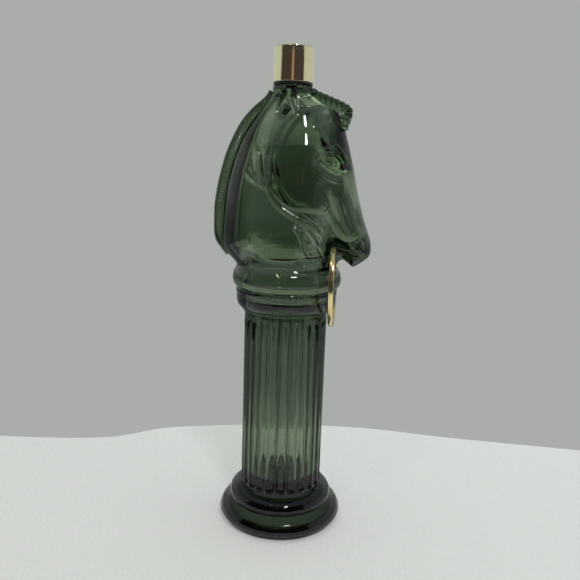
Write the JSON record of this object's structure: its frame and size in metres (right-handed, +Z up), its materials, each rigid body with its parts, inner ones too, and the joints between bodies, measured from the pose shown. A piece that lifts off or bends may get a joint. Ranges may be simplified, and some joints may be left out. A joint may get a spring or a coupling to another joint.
{
  "type": "aftershave bottle",
  "caption": "Glass aftershave bottle shaped as a fluted hitching post with a horse's head, screw cap on the crown and a ring swinging at the mouth.",
  "frame": {"origin": "centre of the foot, on the axis of the column, on the surface that the bottle stands on", "axes": "+Z up along the axis of the column and the cap, +X the way the horse faces, +Y to the horse's left"},
  "size_m": [0.0886, 0.0718, 0.267],
  "materials": {
    "green_glass": "thick moulded soda-lime glass in a smoky mid green, fire-polished",
    "natural_plastic": "uncoloured polyethylene, slightly waxy",
    "liner_foam": "foamed polyethylene sheet",
    "black_plastic": "moulded black plastic",
    "gold_cap": "drawn aluminium, pale gold lacquer, satin",
    "gold_ring": "plated bright gold"
  },
  "bodies": {
    "bottle": {"glass_bottle": "green_glass", "pour_plug": "natural_plastic"},
    "liner": {"cap_liner": "liner_foam"},
    "cap": {"cap_insert": "black_plastic", "cap_shell": "gold_cap"},
    "ring": {"mouth_ring": "gold_ring"}
  },
  "joints": [
    {"name": "cap_rise", "type": "slide", "parent": "bottle", "child": "liner", "axis": [0, 0, 1], "range_m": [0, 0.01035]},
    {"name": "cap_turn", "type": "hinge", "parent": "liner", "child": "cap", "pos_m": [0, 0, 0.2575], "axis": [0, 0, 1], "range_deg": [0, 1170]},
    {"name": "ring_swing", "type": "hinge", "parent": "bottle", "child": "ring", "pos_m": [0.0264, 0, 0.1614], "axis": [0, -1, 0], "range_deg": [-1, 155]}
  ],
  "couplings": [
    {"joint": "cap_rise", "follows": "cap_turn", "m_per_rad": 0.00050532}
  ]
}
